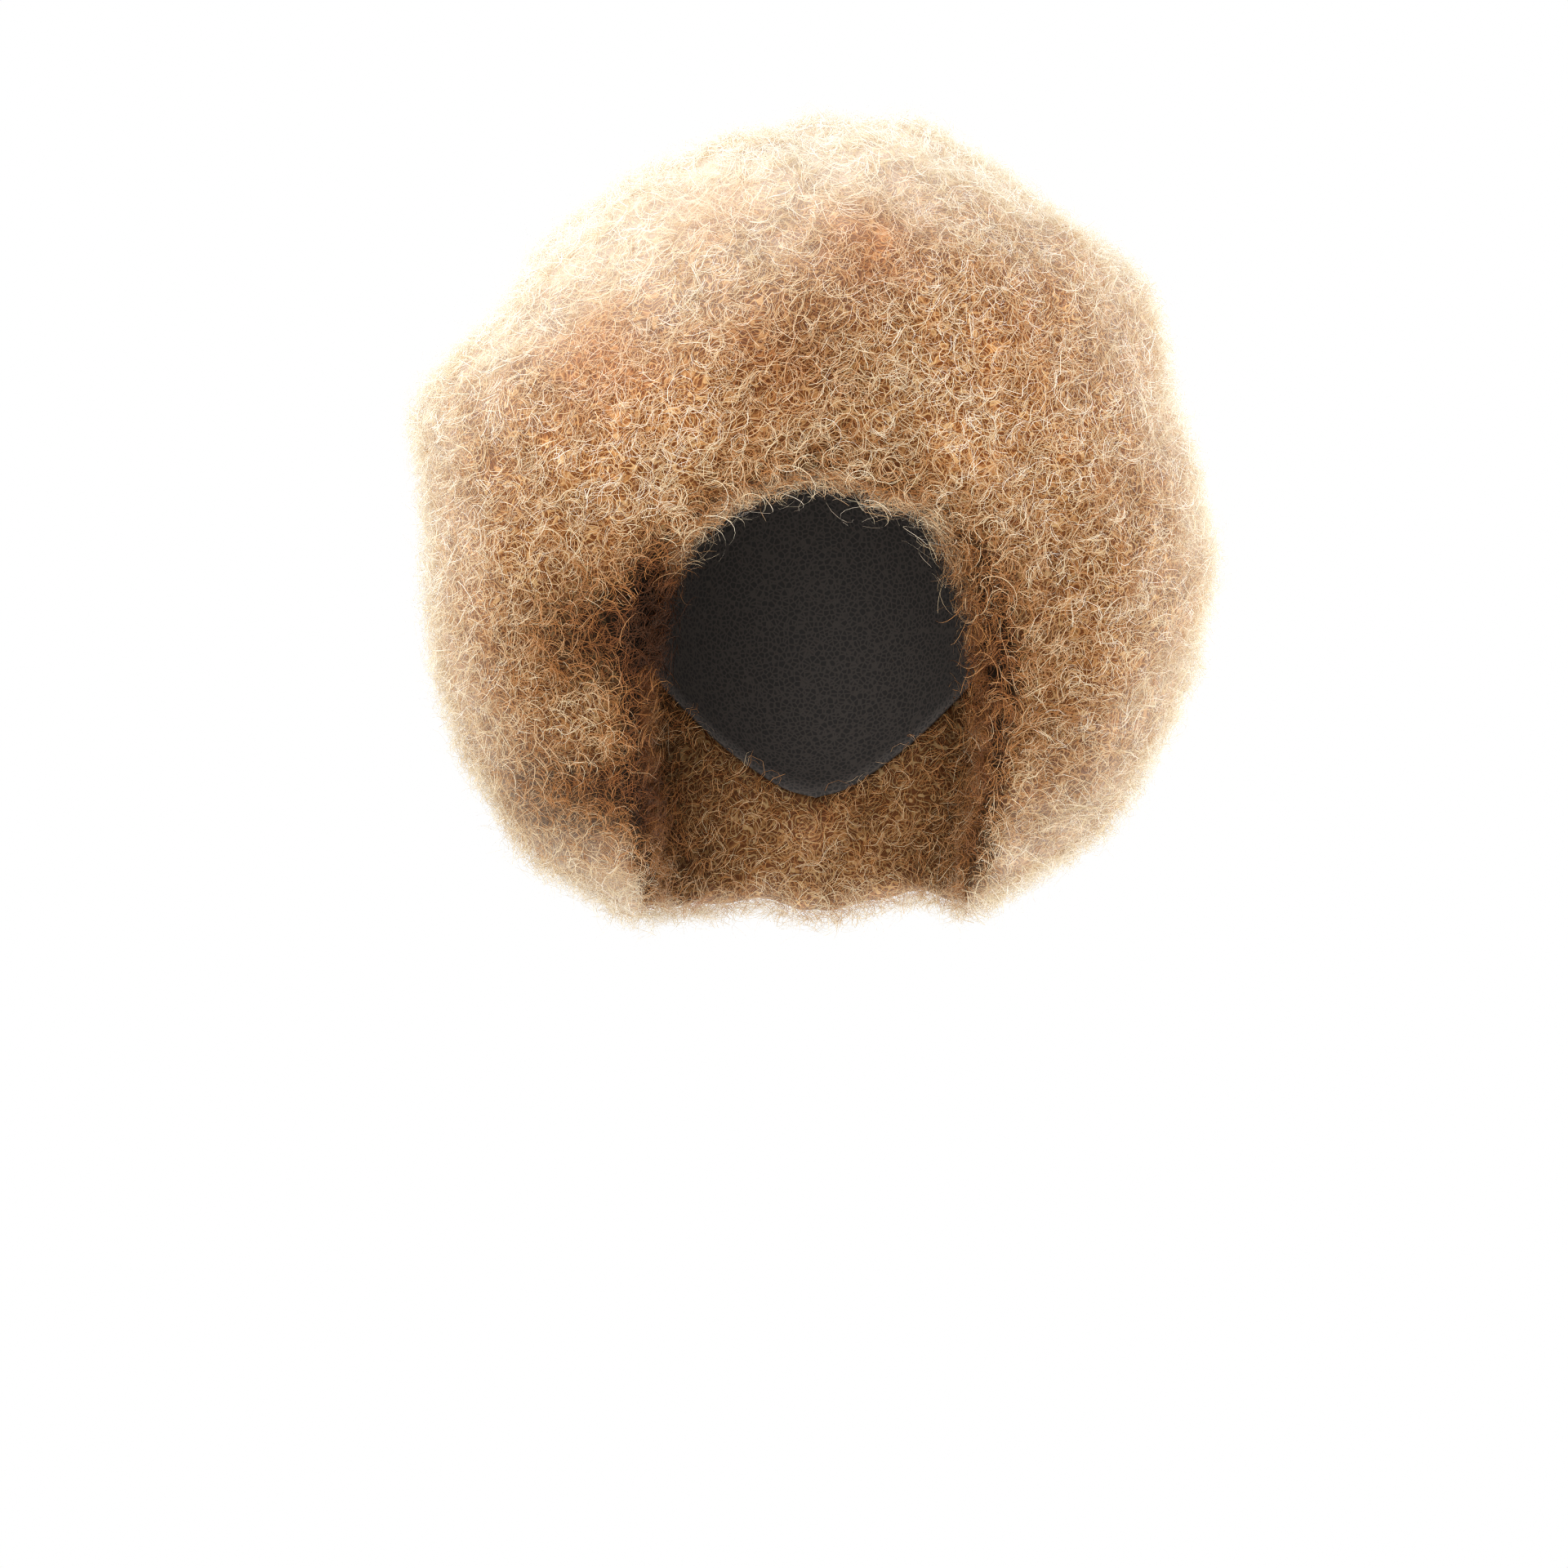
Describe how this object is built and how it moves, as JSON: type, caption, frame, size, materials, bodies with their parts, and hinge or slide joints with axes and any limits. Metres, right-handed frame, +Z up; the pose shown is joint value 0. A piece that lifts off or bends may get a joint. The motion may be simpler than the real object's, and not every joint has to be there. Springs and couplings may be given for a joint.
{
  "type": "curly wig",
  "caption": "Large round curly wig: a fitted stretch cap with crown, ring, fringe, side and nape wefts of springy golden blond curls, open at the face and neck.",
  "frame": {"origin": "inside of the cap at the crown, where the top of the head touches it", "axes": "+Z up along the head, -Y out of the face, +X to the right as seen from in front"},
  "size_m": [0.3458, 0.3244, 0.3527],
  "materials": {
    "cap_net": "near-black stretch net, matt",
    "curly_hair": "golden blond synthetic curls with pale tips and reddish brown depths, soft sheen"
  },
  "bodies": {
    "root": {"wig_cap": "cap_net", "hair_crown": "curly_hair", "hair_upper": "curly_hair", "hair_middle": "curly_hair", "hair_fringe": "curly_hair", "hair_side_right": "curly_hair", "hair_side_left": "curly_hair", "hair_nape": "curly_hair"}
  },
  "joints": []
}
